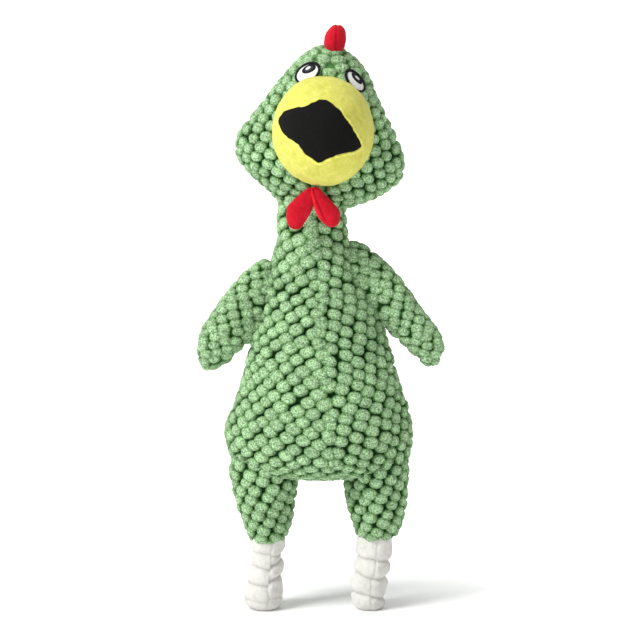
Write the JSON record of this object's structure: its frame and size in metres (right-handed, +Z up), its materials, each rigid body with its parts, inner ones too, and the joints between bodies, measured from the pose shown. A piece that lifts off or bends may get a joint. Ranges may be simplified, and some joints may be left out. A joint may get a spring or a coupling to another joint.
{
  "type": "stuffed chicken toy",
  "caption": "Squeaky plush chicken with a knobbly green body, drooping cheeks, round yellow beak, red comb and wattles, floppy wings and ringed white shanks.",
  "frame": {"origin": "bottom centre of the toy's box, on the surface it stands on", "axes": "+Z up from the soles to the comb, the beak faces -Y, left names are on the -X side"},
  "size_m": [0.1696, 0.1069, 0.3983],
  "materials": {
    "green_plush": "knobbly bobble plush in soft green, matte",
    "yellow_plush": "short smooth plush, pale yellow, matte with a soft sheen",
    "red_plush": "short smooth plush, bright red",
    "white_plush": "short plush gathered in puffed rings, off-white",
    "black_felt": "black felt",
    "black_thread": "black satin-stitch embroidery",
    "white_thread": "white embroidery",
    "filling": "polyester fibre filling",
    "squeaker_plastic": "translucent blow-moulded plastic"
  },
  "bodies": {
    "torso": {"torso_panel_left": "green_plush", "torso_panel_right": "green_plush", "torso_filling_front": "filling", "torso_filling_back": "filling", "squeaker_bulb_back": "squeaker_plastic", "squeaker_reed_plug": "squeaker_plastic", "squeaker_reed": "squeaker_plastic"},
    "squeaker_front": {"squeaker_bulb_front": "squeaker_plastic"},
    "neck": {"neck_panel_left": "green_plush", "neck_panel_right": "green_plush", "neck_filling": "filling"},
    "head": {"head_panel_left": "green_plush", "head_panel_right": "green_plush", "head_filling": "filling", "beak_cover": "yellow_plush", "beak_filling": "filling", "mouth_patch": "black_felt", "eye_left_white": "white_thread", "eye_left_rim": "black_thread", "eye_left_pupil": "black_thread", "eye_right_white": "white_thread", "eye_right_rim": "black_thread", "eye_right_pupil": "black_thread"},
    "comb": {"comb_panel_left": "red_plush", "comb_panel_right": "red_plush", "comb_filling": "filling"},
    "wattle_left": {"wattle_left_panel_front": "red_plush", "wattle_left_panel_back": "red_plush", "wattle_left_filling": "filling"},
    "wattle_right": {"wattle_right_panel_front": "red_plush", "wattle_right_panel_back": "red_plush", "wattle_right_filling": "filling"},
    "wing_left": {"wing_left_panel_front": "green_plush", "wing_left_panel_back": "green_plush", "wing_left_filling": "filling"},
    "wing_right": {"wing_right_panel_front": "green_plush", "wing_right_panel_back": "green_plush", "wing_right_filling": "filling"},
    "thigh_left": {"thigh_left_panel_left": "green_plush", "thigh_left_panel_right": "green_plush", "thigh_left_filling": "filling"},
    "shank_left": {"shank_left_cover": "white_plush", "shank_left_filling": "filling"},
    "thigh_right": {"thigh_right_panel_left": "green_plush", "thigh_right_panel_right": "green_plush", "thigh_right_filling": "filling"},
    "shank_right": {"shank_right_cover": "white_plush", "shank_right_filling": "filling"}
  },
  "joints": [
    {"name": "squeaker_squeeze", "type": "slide", "parent": "torso", "child": "squeaker_front", "axis": [0, 1, 0], "range_m": [0, 0.008], "stiffness_N_per_m": 400},
    {"name": "neck_bend", "type": "hinge", "parent": "torso", "child": "neck", "pos_m": [-0.007, 0.015, 0.246], "axis": [1, 0, 0], "range_deg": [-30, 30], "stiffness_Nm_per_rad": 1.2},
    {"name": "head_turn", "type": "hinge", "parent": "neck", "child": "head", "pos_m": [-0.007, 0.015, 0.279], "axis": [0.1392, 0, 0.9903], "range_deg": [-40, 40], "stiffness_Nm_per_rad": 0.6},
    {"name": "comb_flop", "type": "hinge", "parent": "head", "child": "comb", "pos_m": [0.00754, 0.015, 0.38248], "axis": [0, 1, 0], "range_deg": [-30, 30], "stiffness_Nm_per_rad": 0.05},
    {"name": "wattle_left_swing", "type": "hinge", "parent": "head", "child": "wattle_left", "pos_m": [-0.0063, -0.019, 0.287], "axis": [1, 0, 0], "range_deg": [-60, 15], "stiffness_Nm_per_rad": 0.004},
    {"name": "wattle_right_swing", "type": "hinge", "parent": "head", "child": "wattle_right", "pos_m": [-0.0007, -0.019, 0.287], "axis": [1, 0, 0], "range_deg": [-60, 15], "stiffness_Nm_per_rad": 0.004},
    {"name": "wing_left_swing", "type": "hinge", "parent": "torso", "child": "wing_left", "pos_m": [-0.04375, 0.015, 0.209], "axis": [0.2344, 0, 0.9721], "range_deg": [-45, 45], "stiffness_Nm_per_rad": 0.1},
    {"name": "wing_right_swing", "type": "hinge", "parent": "torso", "child": "wing_right", "pos_m": [0.0345, 0.015, 0.2175], "axis": [-0.356, 0, 0.9345], "range_deg": [-45, 45], "stiffness_Nm_per_rad": 0.1},
    {"name": "hip_left", "type": "hinge", "parent": "torso", "child": "thigh_left", "pos_m": [-0.039, 0.0115, 0.098], "axis": [1, 0, 0], "range_deg": [-45, 30], "stiffness_Nm_per_rad": 4},
    {"name": "hip_right", "type": "hinge", "parent": "torso", "child": "thigh_right", "pos_m": [0.0381, 0.0115, 0.098], "axis": [1, 0, 0], "range_deg": [-45, 30], "stiffness_Nm_per_rad": 4},
    {"name": "shank_left_bend", "type": "hinge", "parent": "thigh_left", "child": "shank_left", "pos_m": [-0.0374, 0.0115, 0.048], "axis": [1, 0, 0], "range_deg": [-30, 30], "stiffness_Nm_per_rad": 4},
    {"name": "shank_right_bend", "type": "hinge", "parent": "thigh_right", "child": "shank_right", "pos_m": [0.0364, 0.0115, 0.048], "axis": [1, 0, 0], "range_deg": [-30, 30], "stiffness_Nm_per_rad": 4}
  ]
}
